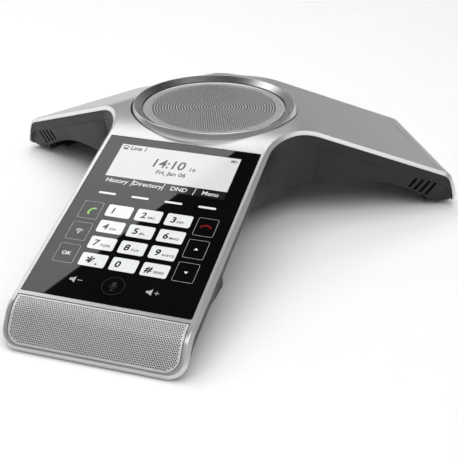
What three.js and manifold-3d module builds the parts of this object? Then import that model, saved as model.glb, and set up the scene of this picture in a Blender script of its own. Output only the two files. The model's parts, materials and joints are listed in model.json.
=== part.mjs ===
// Three-armed desk conference phone. Millimetres, +Z up, the table at z = 0.
// The keypad arm points along -Y; two plain arms point back at 30 degrees to the X axis.
import * as THREE from 'three';
import { mergeVertices } from 'three/addons/utils/BufferGeometryUtils.js';
import Module from 'manifold-3d';

const wasm = await Module();
wasm.setup();

const DEG = Math.PI / 180;

// ---------------------------------------------------------------- driving dimensions
const CREST = 64; // crest of the loudspeaker ring above the table
const GAP = 0.3; // running gap between neighbouring pieces

const SKIN = 2.6; // thickness of the silver top shell
const CHAMFER_IN = 1.8; // width of the bright edge chamfer in plan
const CHAMFER_DOWN = 2.2; // its depth

const WALL = 2.2; // wall of the dark base
const BAND_TALL = 5.8; // upper band of the base side
const PLATEAU = CREST - 2.5; // flat round the loudspeaker between the arms
const SHOULDER = 4; // blend between the flat and the three slopes, in height
const NOTCH_R = 46; // concave corner between two arms
const ROOT = 57.5; // from here outwards an arm is a plain straight strip

// An arm's top runs straight down a slope, turns through a bend, then drops as a tail.
const FRONT = {
  heading: -90 * DEG, a0: 53.2, z0: CREST - 6, slope: 16.6 * DEG, straight: 130,
  bendR: 12, bend: 37 * DEG, tailR: 250, end: 155.5, half: 48.9, corner: 10.5, baseEnd: 8,
};
const RIGHT = {
  heading: 30 * DEG, a0: 53, z0: CREST - 6.03, slope: 21.95 * DEG, straight: 89.8,
  bendR: 10.5, bend: 48 * DEG, tailR: 80, end: 114, half: 46.3, corner: 5, baseEnd: 3.5,
};
const LEFT = { ...RIGHT, heading: 150 * DEG };
const ARMS = [FRONT, RIGHT, LEFT];

const RING_R = 50.7;
const RING_HOLE_R = RING_R + GAP; // hole in the top shell for the loudspeaker ring
const ROUGH_HOLE_R = 47; // the hole's first outline, before it is cut to size
const RING_SIDES = 40;
const CREST_R = 48.1;
const GRILLE_R = 43.5;

const GLASS = { half: 44.93, long: 123.6, thick: 1.1 };
const LCD = { half: 38.5, from: 3.2, to: 43.4, thick: 3.1 };
const KEYS = { half: 40, from: 46, to: 118 };
const MESH = { half: 45, from: 126.4, to: 152.6, corner: 8, thick: 0.8 };

const BELLY_HIGH = CREST - 41.5; // underside of the arms between hub and foot
const BELLY_LOW = 3; // underside at the feet
const BOWL_Z = CREST - 54; // underside below the loudspeaker
const BOWL_R = 40;
const BOWL_END_R = 76;
const UNDERCUT = { front: 10, rear: 4 };

const BAY = { half: 40, near: -129, far: -104, low: 2, roof: 28 };
const BAY_WALL = 2.3;
const DOOR_THICK = 1.8;

// ---------------------------------------------------------------- small mesh builder
class Solid {
  constructor() {
    this.points = [];
    this.index = new Map();
    this.faces = [];
  }

  vertex(p) {
    const key = `${Math.round(p.x * 1e4)},${Math.round(p.y * 1e4)},${Math.round(p.z * 1e4)}`;
    if (!this.index.has(key)) {
      this.index.set(key, this.points.length);
      this.points.push(p);
    }
    return this.index.get(key);
  }

  triangle(a, b, c) {
    const [i, j, k] = [this.vertex(a), this.vertex(b), this.vertex(c)];
    if (i !== j && j !== k && k !== i) {
      this.faces.push(i, j, k);
    }
  }

  quad(a, b, c, d) {
    this.triangle(a, b, c);
    this.triangle(a, c, d);
  }

  // A band of quads between two loops of equal length, closed round.
  band(upper, lower) {
    const n = upper.length;
    for (let i = 0; i < n; i += 1) {
      const j = (i + 1) % n;
      this.quad(lower[i], lower[j], upper[j], upper[i]);
    }
  }

  geometry() {
    const g = new THREE.BufferGeometry();
    const flat = this.points.flatMap((p) => [p.x, p.y, p.z]);
    g.setAttribute('position', new THREE.Float32BufferAttribute(flat, 3));
    g.setIndex(this.faces);
    g.computeVertexNormals();
    return g;
  }
}

function toManifold(geometry) {
  const g = geometry.clone();
  g.deleteAttribute('normal');
  g.deleteAttribute('uv');
  const m = mergeVertices(g, 1e-4);
  return new wasm.Manifold(new wasm.Mesh({
    numProp: 3,
    vertProperties: new Float32Array(m.attributes.position.array),
    triVerts: new Uint32Array(m.index.array),
  }));
}

function fromManifold(manifold) {
  const m = manifold.getMesh();
  const g = new THREE.BufferGeometry();
  g.setAttribute('position', new THREE.Float32BufferAttribute(m.vertProperties, 3));
  g.setIndex(Array.from(m.triVerts));
  g.computeVertexNormals();
  return g;
}

function join(first, ...rest) {
  return fromManifold(rest.reduce((acc, g) => acc.add(toManifold(g)), toManifold(first)));
}

function cut(first, ...rest) {
  return fromManifold(rest.reduce((acc, g) => acc.subtract(toManifold(g)), toManifold(first)));
}

// ---------------------------------------------------------------- plain shapes
function box(wide, deep, tall, x = 0, y = 0, z = 0) {
  return new THREE.BoxGeometry(wide, deep, tall).translate(x, y, z);
}

function roundedRect(wide, deep, r) {
  const shape = new THREE.Shape();
  const [w, d] = [wide / 2, deep / 2];
  shape.moveTo(-w + r, -d);
  shape.lineTo(w - r, -d);
  shape.absarc(w - r, -d + r, r, -90 * DEG, 0, false);
  shape.lineTo(w, d - r);
  shape.absarc(w - r, d - r, r, 0, 90 * DEG, false);
  shape.lineTo(-w + r, d);
  shape.absarc(-w + r, d - r, r, 90 * DEG, 180 * DEG, false);
  shape.lineTo(-w, -d + r);
  shape.absarc(-w + r, -d + r, r, 180 * DEG, 270 * DEG, false);
  return shape;
}

// A plate with rounded corners, its underside at z.
function plate(wide, deep, thick, r, z = 0, bevel = 0, segments = 3) {
  const g = new THREE.ExtrudeGeometry(roundedRect(wide - 2 * bevel, deep - 2 * bevel, Math.max(r - bevel, 0.2)), {
    depth: thick - 2 * bevel,
    bevelEnabled: bevel > 0,
    bevelThickness: bevel,
    bevelSize: bevel,
    bevelSegments: 1,
    curveSegments: segments,
  });
  return g.translate(0, 0, z + bevel);
}

// Turn a closed profile of [radius, z], listed anticlockwise, about Z.
function revolve(profile, segments) {
  const solid = new Solid();
  const at = ([r, z], k) => {
    const t = (2 * Math.PI * (k % segments)) / segments;
    return new THREE.Vector3(r * Math.cos(t), r * Math.sin(t), z);
  };
  for (let i = 0; i < profile.length; i += 1) {
    const p = profile[i];
    const q = profile[(i + 1) % profile.length];
    for (let k = 0; k < segments; k += 1) {
      solid.quad(at(p, k), at(p, k + 1), at(q, k + 1), at(q, k));
    }
  }
  return solid.geometry();
}

function cylinder(r, low, high, segments = 20) {
  return revolve([[0, low], [r, low], [r, high], [0, high]], segments);
}

function rod(points, r, steps = 9) {
  const curve = new THREE.CatmullRomCurve3(points.map((p) => new THREE.Vector3(...p)));
  const section = new THREE.Shape();
  section.absarc(0, 0, r, 0, 2 * Math.PI, false);
  return new THREE.ExtrudeGeometry(section, { steps, curveSegments: 3, extrudePath: curve });
}

// ---------------------------------------------------------------- the phone's top surface
function profile(arm, s) {
  const run = Math.min(s, arm.straight);
  let a = arm.a0 + run * Math.cos(arm.slope);
  let z = arm.z0 - run * Math.sin(arm.slope);
  let angle = arm.slope;
  if (s > arm.straight) {
    angle += Math.min((s - arm.straight) / arm.bendR, arm.bend);
    a += arm.bendR * (Math.sin(angle) - Math.sin(arm.slope));
    z -= arm.bendR * (Math.cos(arm.slope) - Math.cos(angle));
  }
  const tail = s - arm.straight - arm.bendR * arm.bend;
  if (tail > 0) {
    const start = angle;
    angle += tail / arm.tailR;
    a += arm.tailR * (Math.sin(angle) - Math.sin(start));
    z -= arm.tailR * (Math.cos(start) - Math.cos(angle));
  }
  return { a, z, angle };
}

function armPoint(arm, s, l, depth = 0) {
  const p = profile(arm, s);
  const a = p.a - depth * Math.sin(p.angle);
  const z = p.z - depth * Math.cos(p.angle);
  const [c, n] = [Math.cos(arm.heading), Math.sin(arm.heading)];
  return new THREE.Vector3(a * c - l * n, a * n + l * c, z);
}

function along(arm, x, y) {
  return x * Math.cos(arm.heading) + y * Math.sin(arm.heading);
}

function softMin(a, b, k) {
  const h = Math.max(k - Math.abs(a - b), 0);
  return Math.min(a, b) - (h * h) / (4 * k);
}

function hubHeight(x, y) {
  let z = PLATEAU;
  for (const arm of ARMS) {
    z = softMin(z, arm.z0 - (along(arm, x, y) - arm.a0) * Math.tan(arm.slope), SHOULDER);
  }
  return z;
}

function hubPoint(x, y, depth = 0) {
  const e = 0.05;
  const gx = (hubHeight(x + e, y) - hubHeight(x - e, y)) / (2 * e);
  const gy = (hubHeight(x, y + e) - hubHeight(x, y - e)) / (2 * e);
  const n = new THREE.Vector3(-gx, -gy, 1).normalize();
  return new THREE.Vector3(x, y, hubHeight(x, y)).addScaledVector(n, -depth);
}

// Underside of the base, by place in plan.
function belly(x, y) {
  const r = Math.hypot(x, y);
  const t = THREE.MathUtils.clamp((r - BOWL_R) / (BOWL_END_R - BOWL_R), 0, 1);
  let z = BOWL_Z + (BELLY_HIGH - BOWL_Z) * (1 - (1 - t) * (1 - t));
  const front = THREE.MathUtils.clamp((along(FRONT, x, y) - 100) / 75, 0, 1);
  z -= (BELLY_HIGH - BELLY_LOW) * front * front * (3 - 2 * front);
  for (const arm of [RIGHT, LEFT]) {
    z -= 0.0063 * Math.max(0, along(arm, x, y) - 76) ** 2;
  }
  return Math.max(z, BELLY_LOW);
}

// ---------------------------------------------------------------- outline of the phone
// Each outline is one list of nodes, so that outlines with different insets can be joined.
// A node is on an arm (arm, s, l) or on the hub (x, y).
function notch(armA, armB, inset, steps) {
  const nA = new THREE.Vector2(-Math.sin(armA.heading), Math.cos(armA.heading));
  const nB = new THREE.Vector2(Math.sin(armB.heading), -Math.cos(armB.heading));
  const [dA, dB] = [armA.half + NOTCH_R, armB.half + NOTCH_R];
  const det = nA.x * nB.y - nA.y * nB.x;
  const cx = (dA * nB.y - dB * nA.y) / det;
  const cy = (dB * nA.x - dA * nB.x) / det;
  const from = Math.atan2(-nA.y, -nA.x);
  let turn = Math.atan2(-nB.y, -nB.x) - from;
  turn -= 2 * Math.PI * Math.round(turn / (2 * Math.PI));
  const nodes = [];
  for (let i = 0; i <= steps; i += 1) {
    const t = from + (turn * i) / steps;
    const r = NOTCH_R + inset;
    nodes.push({ x: cx + r * Math.cos(t), y: cy + r * Math.sin(t) });
  }
  return nodes;
}

// Rows down one arm from its root to its end: each row is { s, l }, used at +l and -l.
function armRows(arm, inset, endInset, opts) {
  const half = arm.half - inset;
  const end = arm.end - endInset;
  const corner = Math.max(arm.corner - inset, 0.6);
  const first = (ROOT - arm.a0) / Math.cos(arm.slope);
  const rows = [];
  for (let i = 0; i <= opts.mid; i += 1) {
    rows.push({ s: first + ((arm.straight - first) * i) / opts.mid, l: half });
  }
  const bendEnd = arm.straight + arm.bendR * arm.bend;
  for (let i = 1; i <= opts.bend; i += 1) {
    rows.push({ s: arm.straight + ((bendEnd - arm.straight) * i) / opts.bend, l: half });
  }
  const cornerFrom = end - corner;
  rows.push({ s: (bendEnd + cornerFrom) / 2, l: half });
  for (let i = 0; i <= opts.corner; i += 1) {
    const t = (90 * DEG * i) / opts.corner;
    rows.push({ s: cornerFrom + corner * Math.sin(t), l: half - corner + corner * Math.cos(t) });
  }
  return rows.map((row) => ({ arm, ...row }));
}

function outline(inset, endInset, opts) {
  const strips = ARMS.map((arm) => armRows(arm, inset(arm), endInset(arm), opts));
  const notches = ARMS.map((arm, i) => {
    const next = ARMS[(i + 1) % 3];
    return notch(arm, next, (inset(arm) + inset(next)) / 2, opts.notch);
  });
  return { strips, notches };
}

function sideNode(row, side) {
  return { ...row, l: row.l * side };
}

// The closed loop of an outline, anticlockwise from above.
function loop(shape) {
  const nodes = [];
  for (let i = 0; i < 3; i += 1) {
    const rows = shape.strips[i];
    rows.forEach((row) => nodes.push(sideNode(row, -1)));
    [...rows].reverse().forEach((row) => nodes.push(sideNode(row, 1)));
    shape.notches[i].forEach((node) => nodes.push(node));
  }
  return nodes;
}

// The hub's own boundary: the notches and, across each arm's root, a row of points.
function hubLoop(shape, place, opts) {
  const points = [];
  for (let i = 0; i < 3; i += 1) {
    const root = shape.strips[i][0];
    for (let k = 0; k <= opts.root; k += 1) {
      points.push(place({ ...root, l: root.l * ((2 * k) / opts.root - 1) }));
    }
    shape.notches[i].forEach((node) => points.push(place(node)));
  }
  return points;
}

// Cover an outline with a face: the arms as strips, the hub as rings round its centre.
// height(x, y) gives the hub's surface; hole is the radius left open in the middle.
function cover(solid, shape, place, opts, height, hole, facesUp) {
  const put = (a, b, c) => (facesUp ? solid.triangle(a, b, c) : solid.triangle(a, c, b));
  shape.strips.forEach((rows) => {
    for (let i = 0; i + 1 < rows.length; i += 1) {
      const far = [1, -1].map((side) => place(sideNode(rows[i + 1], side)));
      let near = [1, -1].map((side) => place(sideNode(rows[i], side)));
      if (i === 0) {
        near = [];
        for (let k = 0; k <= opts.root; k += 1) {
          near.push(place({ ...rows[0], l: rows[0].l * (1 - (2 * k) / opts.root) }));
        }
      }
      for (let k = 0; k + 1 < near.length; k += 1) {
        put(near[k], near[k + 1], far[0]);
      }
      put(near[near.length - 1], far[1], far[0]);
    }
  });
  const edge = hubLoop(shape, place, opts);
  let outer = edge;
  for (let j = 1; j <= opts.hub; j += 1) {
    const t = j / opts.hub;
    const inner = edge.map((p) => {
      const r = Math.hypot(p.x, p.y);
      const wanted = r + (hole - r) * t;
      const [x, y] = [(p.x / r) * wanted, (p.y / r) * wanted];
      return new THREE.Vector3(x, y, height(x, y));
    });
    for (let i = 0; i < edge.length; i += 1) {
      const k = (i + 1) % edge.length;
      put(outer[i], outer[k], inner[k]);
      put(outer[i], inner[k], inner[i]);
    }
    outer = inner;
  }
  return outer;
}

function topPlace(depth) {
  return (node) => (node.arm ? armPoint(node.arm, node.s, node.l, depth) : hubPoint(node.x, node.y, depth));
}

// ---------------------------------------------------------------- the two big mouldings
function lid() {
  const opts = { mid: 1, bend: 4, corner: 4, notch: 8, root: 6, hub: 3 };
  const same = (v) => () => v;
  const solid = new Solid();
  const edges = [
    { inset: CHAMFER_IN, depth: 0 },
    { inset: 0, depth: CHAMFER_DOWN },
    { inset: 0.3, depth: SKIN },
  ].map((e) => ({ ...e, shape: outline(same(e.inset), same(e.inset), opts) }));
  const loops = edges.map((e) => loop(e.shape).map(topPlace(e.depth)));
  solid.band(loops[0], loops[1]);
  solid.band(loops[1], loops[2]);
  const [top, low] = [edges[0], edges[2]];
  const rimTop = cover(solid, top.shape, topPlace(0), opts, hubHeight, ROUGH_HOLE_R, true);
  const under = (x, y) => hubHeight(x, y) - SKIN;
  const rimLow = cover(solid, low.shape, topPlace(SKIN), opts, under, ROUGH_HOLE_R, false);
  solid.band(rimLow, rimTop);
  return solid.geometry();
}

// A closed body between the lid's underside and the belly; grow < 0 shrinks it by a wall.
function tub(top, wall, opts) {
  const side = (extra) => (arm) => 0.7 + wall + (arm === FRONT ? extra.front : extra.rear);
  const end = (arm) => arm.baseEnd + wall;
  const flush = { front: 0, rear: 0 };
  const step = { front: 0.8, rear: 0.8 };
  const solid = new Solid();
  const shapes = [flush, flush, step, UNDERCUT].map((extra) => outline(side(extra), end, opts));
  const drop = topPlace(SKIN + GAP);
  const floor = (p) => belly(p.x, p.y) + wall;
  const bandLow = (p) => Math.max(p.z - BAND_TALL, floor(p) + 0.55 * (p.z - floor(p)));
  const lowered = (fn) => (node) => {
    const p = drop(node);
    return new THREE.Vector3(p.x, p.y, fn(p));
  };
  const places = [topPlace(top), lowered(bandLow), lowered((p) => bandLow(p) - 0.4), lowered(floor)];
  const loops = shapes.map((shape, i) => loop(shape).map(places[i]));
  for (let i = 0; i < 3; i += 1) {
    solid.band(loops[i], loops[i + 1]);
  }
  cover(solid, shapes[0], places[0], opts, (x, y) => hubHeight(x, y) - top, 0, true);
  cover(solid, shapes[3], places[3], opts, (x, y) => belly(x, y) + wall, 0, false);
  return solid.geometry();
}

// A plate that follows one arm's top, between two distances along it.
function bentPlate(arm, from, to, half, corner, depthTop, depthLow, steps) {
  const rows = [{ s: from, l: half }];
  const bendEnd = arm.straight + arm.bendR * arm.bend;
  if (from < arm.straight) {
    rows.push({ s: arm.straight, l: half });
  }
  for (let i = 1; i <= steps; i += 1) {
    rows.push({ s: arm.straight + ((bendEnd - arm.straight) * i) / steps, l: half });
  }
  for (let i = 0; i <= 5; i += 1) {
    const t = (90 * DEG * i) / 5;
    rows.push({ s: to - corner + corner * Math.sin(t), l: half - corner + corner * Math.cos(t) });
  }
  const solid = new Solid();
  const ring = (depth) => [
    ...rows.map((r) => armPoint(arm, r.s, -r.l, depth)),
    ...[...rows].reverse().map((r) => armPoint(arm, r.s, r.l, depth)),
  ];
  const [upper, lower] = [ring(depthTop), ring(depthLow)];
  solid.band(upper, lower);
  const n = rows.length;
  for (let i = 0; i + 1 < n; i += 1) {
    const [a, b, c, d] = [i, i + 1, 2 * n - 2 - i, 2 * n - 1 - i];
    solid.quad(upper[a], upper[b], upper[c], upper[d]);
    solid.quad(lower[d], lower[c], lower[b], lower[a]);
  }
  return solid.geometry();
}

// ---------------------------------------------------------------- frames for placing things
// On the panel: x across, y up the slope, z out of the glass, origin at the glass's top edge.
function onPanel(geometry) {
  const o = armPoint(FRONT, 0, 0, 0);
  return geometry.rotateX(FRONT.slope).translate(o.x, o.y, o.z);
}

// On a rear arm: x along it from the hub's axis, y to its left, z up.
function onArm(arm, geometry) {
  return geometry.rotateZ(arm.heading);
}

function panelSlab(half, from, to, depthTop, depthLow) {
  const g = box(2 * half, to - from, depthLow - depthTop, 0, -(from + to) / 2, -(depthTop + depthLow) / 2);
  return onPanel(g);
}

// ---------------------------------------------------------------- build
const group = new THREE.Group();
group.name = 'conference_phone';

function add(name, geometry, color, roughness = 0.6, metalness = 0) {
  const mesh = new THREE.Mesh(geometry, new THREE.MeshStandardMaterial({ color, roughness, metalness }));
  mesh.name = name;
  group.add(mesh);
}

const SILVER = 0xc9cacb;
const CHARCOAL = 0x34373a;
const STEEL = 0xb4b6b8;
const BLACK = 0x101113;
const RUBBER = 0x222222;
const BOARD = 0x1f5a3a;

// --- top shell
const FRONT_MIC_S = 139; // where the front microphone's hole lies along the front arm
const micFrame = profile(FRONT, FRONT_MIC_S);

// At the front microphone: z out of the surface, origin on it.
function atFrontMic(geometry) {
  const o = armPoint(FRONT, FRONT_MIC_S, 0, 0);
  return geometry.rotateX(micFrame.angle).translate(o.x, o.y, o.z);
}

const glassPocket = panelSlab(GLASS.half + GAP, -GAP, GLASS.long + GAP, -1, GLASS.thick + GAP);
const glassWindow = panelSlab(GLASS.half - 3, LCD.from - 1, KEYS.to + 1.5, 0, SKIN + 2);
const meshPocket = bentPlate(
  FRONT, MESH.from - GAP, MESH.to + GAP, MESH.half + GAP, MESH.corner + GAP, -1, MESH.thick + 0.6, 4,
);
const micHole = atFrontMic(cylinder(1.2, -4, 4, 8));
const TIP_GROOVE_A = 131;
const tipGrooves = [RIGHT, LEFT].map((arm) => {
  const drop = (TIP_GROOVE_A - arm.a0) * Math.tan(arm.slope);
  const groove = box(0.5, 2 * arm.half + 4, 1).rotateY(arm.slope);
  return onArm(arm, groove.translate(TIP_GROOVE_A, 0, arm.z0 - drop + 0.1));
});
const ringHole = cylinder(RING_HOLE_R, 40, 70, RING_SIDES);
add('top_shell', cut(lid(), ringHole, glassPocket, glassWindow, meshPocket, micHole, ...tipGrooves), SILVER, 0.35, 0.6);

// --- base shell
const tubOpts = { mid: 5, bend: 2, corner: 2, notch: 5, root: 4, hub: 4 };
const bayCentre = (BAY.near + BAY.far) / 2;
const bayDeep = BAY.far - BAY.near;
const roomDeep = bayDeep - 2 * BAY_WALL;
const bayBlock = plate(2 * BAY.half, bayDeep, BAY.roof - BAY.low, 4, BAY.low, 1.2).translate(0, bayCentre, 0);
const roomTop = BAY.roof - BAY_WALL;
const bayRoom = box(2 * (BAY.half - BAY_WALL), roomDeep, roomTop + 4, 0, bayCentre, (roomTop - 4) / 2);

const PAD = { a: 132.4, wide: 10, long: 80 };
const FOOT = { deep: 7, long: 50, corner: 1.3, sunk: 0.7 };
const FRONT_FOOT_Y = -181;
const pads = [RIGHT, LEFT].map((arm) => onArm(arm, box(PAD.wide, PAD.long, 5, PAD.a, 0, BELLY_LOW + 2.5)));
const footPocket = (wide, deep) => plate(
  wide + 2 * GAP, deep + 2 * GAP, 1 + FOOT.sunk + GAP, FOOT.corner + GAP, BELLY_LOW - 1, 0, 2,
);
const footPockets = [
  onArm(RIGHT, footPocket(FOOT.deep, FOOT.long).translate(PAD.a, 0, 0)),
  onArm(LEFT, footPocket(FOOT.deep, FOOT.long).translate(PAD.a, 0, 0)),
  footPocket(60, FOOT.deep).translate(0, FRONT_FOOT_Y, 0),
];

const MIC_SLOTS = [
  { a: 116.1, z: 18.4, long: 7.3 }, { a: 120.1, z: 16.6, long: 8.4 },
  { a: 124.2, z: 14.9, long: 9.0 }, { a: 128.2, z: 13.0, long: 9.8 },
];
const SLOT_LEAN = 33 * DEG;
const micSlots = [[RIGHT, -1], [LEFT, 1]].flatMap(([arm, side]) => MIC_SLOTS.map((slot) => onArm(
  arm, box(1.9, 10, slot.long).rotateY(SLOT_LEAN).translate(slot.a, side * (arm.half - 2), slot.z),
)));

const USB = { y: 57, z: 34, wide: 7.6, tall: 2.7, long: 5.6 }; // micro-USB
const usbHole = box(USB.wide + 2 * GAP, 16, USB.tall + 2 * GAP, 0, 60, USB.z);

// Case screws: two by each foot.
const caseScrews = [
  ...[RIGHT, LEFT].flatMap((arm) => [-34.5, 34.5].map((l) => {
    const [c, n] = [Math.cos(arm.heading), Math.sin(arm.heading)];
    return { x: PAD.a * c - l * n, y: PAD.a * n + l * c, floor: BELLY_LOW };
  })),
  ...[-34.5, 34.5].map((x) => ({ x, y: FRONT_FOOT_Y, floor: BELLY_LOW })),
];
const screwBore = ({ x, y, floor }) => revolve([
  [0, floor - 3], [2.8, floor - 3], [2.8, floor + 1.2], [1.5, floor + 1.2], [1.5, floor + 7], [0, floor + 7],
], 8).translate(x, y, 0);
const screw = ({ x, y, floor }) => revolve([
  [0, floor + 0.5], [0.8, floor + 0.2], [2.5, floor + 0.2], [2.5, floor + 0.9], [1.2, floor + 0.9],
  [1.2, floor + 5], [0, floor + 5.6],
], 8).translate(x, y, 0);

const tubWalls = cut(join(tub(SKIN + GAP, 0, tubOpts), bayBlock, ...pads), tub(1.2, WALL, tubOpts));
const baseBody = join(tubWalls, cut(bayBlock, bayRoom));
add('base_shell', cut(
  baseBody, bayRoom, ...footPockets, ...micSlots, usbHole, ...caseScrews.map(screwBore),
), CHARCOAL, 0.55);

caseScrews.forEach((place, i) => add(`case_screw_${i + 1}`, screw(place), STEEL, 0.35, 0.9));

// --- feet and rating plate
const foot = (wide, deep) => plate(wide, deep, BELLY_LOW + FOOT.sunk, FOOT.corner, 0, 0.5, 2);
add('right_foot', onArm(RIGHT, foot(FOOT.deep, FOOT.long).translate(PAD.a, 0, 0)), RUBBER, 0.9);
add('left_foot', onArm(LEFT, foot(FOOT.deep, FOOT.long).translate(PAD.a, 0, 0)), RUBBER, 0.9);
add('front_foot', foot(60, FOOT.deep).translate(0, FRONT_FOOT_Y, 0), RUBBER, 0.9);
add('rating_plate', plate(36, 22, 0.4, 2, BOWL_Z - GAP - 0.4, 0, 2), 0xd9dadb, 0.7);

// --- loudspeaker, hung from the ring
const SPEAKER_SCREW_R = 44.3;
const aroundSpeaker = [45, 135, 225, 315].map((d) => [
  SPEAKER_SCREW_R * Math.cos(d * DEG), SPEAKER_SCREW_R * Math.sin(d * DEG),
]);
const ring = revolve([
  [RING_R, 54], [RING_R, 59], [50.1, 61.8], [49.2, 63.3], [CREST_R, CREST], [47.4, 63.6], [44.2, 61.1],
  [43.9, 60.9], [43.9, 59.3], [41.5, 59.3], [41.5, 57.4], [42.3, 54.9], [47.6, 54.9], [47.6, 54],
], RING_SIDES);
const ringBores = aroundSpeaker.map(([x, y]) => cylinder(1.6, 54, 58.4, 8).translate(x, y, 0));
add('speaker_ring', cut(ring, ...ringBores), 0xb9babb, 0.25, 0.9);

const GRILLE_STEP = 4.2;
const grilleTop = [];
for (let r = GRILLE_R; r > GRILLE_STEP; r -= GRILLE_STEP) {
  grilleTop.push([r, grilleTop.length % 2 ? 60.5 : 61]);
}
add('speaker_grille', revolve([[0, 59.6], [GRILLE_R, 59.6], ...grilleTop, [0, 60.6]], RING_SIDES), 0xa9abad, 0.35, 0.8);
add('speaker_gasket', revolve([[36.8, 54.9], [41.2, 54.9], [41.2, 57.1], [36.8, 57.1]], 24), 0x1a1a1a, 0.95);

const basketBody = revolve([
  [23, 33.4], [38.6, 51.2], [46.8, 51.8], [46.8, 54.6], [36.4, 54.6], [36.4, 51.6], [22, 35.6], [14, 35.6],
  [14, 33.4],
], 24);
const basketWindows = [0, 90, 180, 270].map((d) => box(12, 17, 9, 33, 0, 43.2).rotateZ(d * DEG));
const basketHoles = aroundSpeaker.map(([x, y]) => cylinder(1.7, 50, 56, 8).translate(x, y, 0));
add('speaker_basket', cut(basketBody, ...basketWindows, ...basketHoles), 0x2b2d2f, 0.5, 0.5);
add('speaker_magnet', revolve([
  [0, 16.6], [19, 16.6], [20.5, 17.6], [20.5, 20.2], [22, 20.2], [22, 29.6], [20.5, 29.6], [20.5, 33.1], [0, 33.1],
], 24), 0x4a4c4e, 0.45, 0.7);
add('speaker_cone', revolve([
  [12.6, 37.2], [12.6, 40.2], [31, 51.2], [32.6, 52.4], [35.6, 52.4], [35.6, 53.2], [34.4, 54.6], [32.4, 54.2],
  [30.6, 52], [12, 41.6], [7, 44.2], [0, 45.3], [0, 44.5], [6.8, 43.4], [11.4, 40.8], [11.4, 37.2],
], 24), 0x262626, 0.8);
aroundSpeaker.forEach(([x, y], i) => add(`speaker_screw_${i + 1}`, revolve([
  [0, 49.9], [2.3, 50.1], [2.7, 51.4], [1.3, 51.4], [1.3, 57.6], [0, 58],
], 8).translate(x, y, 0), STEEL, 0.35, 0.9));

// --- glass, display and keypad, stacked under the panel
function panelPlate(half, from, to, depthTop, depthLow, corner, bevel = 0) {
  const g = plate(2 * half, to - from, depthLow - depthTop, corner, -depthLow, bevel, 2);
  return onPanel(g.translate(0, -(from + to) / 2, 0));
}

add('glass_panel', panelPlate(GLASS.half, 0, GLASS.long, 0, GLASS.thick, 0.6, 0.2), BLACK, 0.08);
const lcdFrom = 1.5;
const lcdTo = lcdFrom + LCD.thick;
const activeArea = panelSlab(35.45, 6.2, 40.5, 0, lcdFrom + 0.4);
add('lcd_module', cut(panelPlate(LCD.half, LCD.from, LCD.to, lcdFrom, lcdTo, 1), activeArea), 0xd6dbd6, 0.4);
add('lcd_backlight', panelPlate(LCD.half - 1, LCD.from + 1, LCD.to - 1, lcdTo + 0.3, lcdTo + 1.9, 1), 0xe9e9e4, 0.5);
add('key_light_guide', panelPlate(KEYS.half, KEYS.from, KEYS.to, lcdFrom, lcdFrom + 1.4, 1.5, 0.3), 0xdfe5e8, 0.3);
const boardFrom = lcdFrom + 1.7;
const boardTo = boardFrom + 1.4;
add('touch_board', join(
  panelPlate(KEYS.half, KEYS.from, KEYS.to, boardFrom, boardTo, 1.5),
  panelSlab(5, 62, 72, boardTo - 0.2, boardTo + 1),
  panelSlab(9, 49, 54, boardTo - 0.2, boardTo + 1.4),
), BOARD, 0.6);
add('front_grille', bentPlate(
  FRONT, MESH.from, MESH.to, MESH.half, MESH.corner, 0.1, 0.1 + MESH.thick, 4,
), 0x8f9193, 0.4, 0.8);

// --- microphones in rubber boots
add('front_mic_boot', atFrontMic(revolve([
  [1.4, -7], [4.5, -7], [4.5, -3.2], [1.2, -3.2], [1.2, -3.9], [2.8, -3.9], [2.8, -6.3], [1.4, -6.3],
], 14)), RUBBER, 0.9);
add('front_mic', atFrontMic(cylinder(2.5, -6.1, -4.1, 12)), STEEL, 0.4, 0.8);
for (const [arm, side, name] of [[RIGHT, -1, 'right'], [LEFT, 1, 'left']]) {
  const turned = (g) => g.rotateX(90 * DEG).translate(122, side * 36.4, 18.8);
  const boot = box(12, 4.8, 6, 122, side * 36.4, 18.8);
  add(`${name}_mic_boot`, onArm(arm, cut(boot, turned(cylinder(2.3, -4, 4, 12)))), RUBBER, 0.9);
  add(`${name}_mic`, onArm(arm, turned(cylinder(2, -1.4, 1.4, 12))), STEEL, 0.4, 0.8);
}

// --- boards, antennas and wiring
const MAIN = { z: 28, thick: 1.6, half: 32, near: -99, far: -58 };
const boardHoles = [[-28, -62], [28, -62], [-28, -95], [28, -95]];
const mainPlate = plate(2 * MAIN.half, MAIN.far - MAIN.near, MAIN.thick, 2, MAIN.z, 0, 2)
  .translate(0, (MAIN.near + MAIN.far) / 2, 0);
const chips = [[12, 12, 1.4, -14, -84], [8, 6, 1.2, 18, -88], [14, 4, 2.4, 0, -95.5], [9, 4, 3, 24, -70]];
const chipBoxes = chips.map(([w, d, h, x, y]) => box(w, d, h + 0.4, x, y, MAIN.z + MAIN.thick + h / 2 - 0.2));
const boardBores = boardHoles.map(([x, y]) => cylinder(1.7, MAIN.z - 1, MAIN.z + 3, 8).translate(x, y, 0));
add('main_board', cut(join(mainPlate, ...chipBoxes), ...boardBores), BOARD, 0.6);
add('radio_shield', plate(22, 14, 2.4, 1, MAIN.z + MAIN.thick + 0.2, 0.3, 1).translate(4, -70, 0), STEEL, 0.35, 0.9);
boardHoles.forEach(([x, y], i) => add(`board_screw_${i + 1}`, revolve([
  [0, 25.4], [1.3, 25.8], [1.3, 29.9], [2.6, 29.9], [2.2, 31.2], [0, 31.4],
], 8).translate(x, y, 0), STEEL, 0.35, 0.9));

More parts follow.
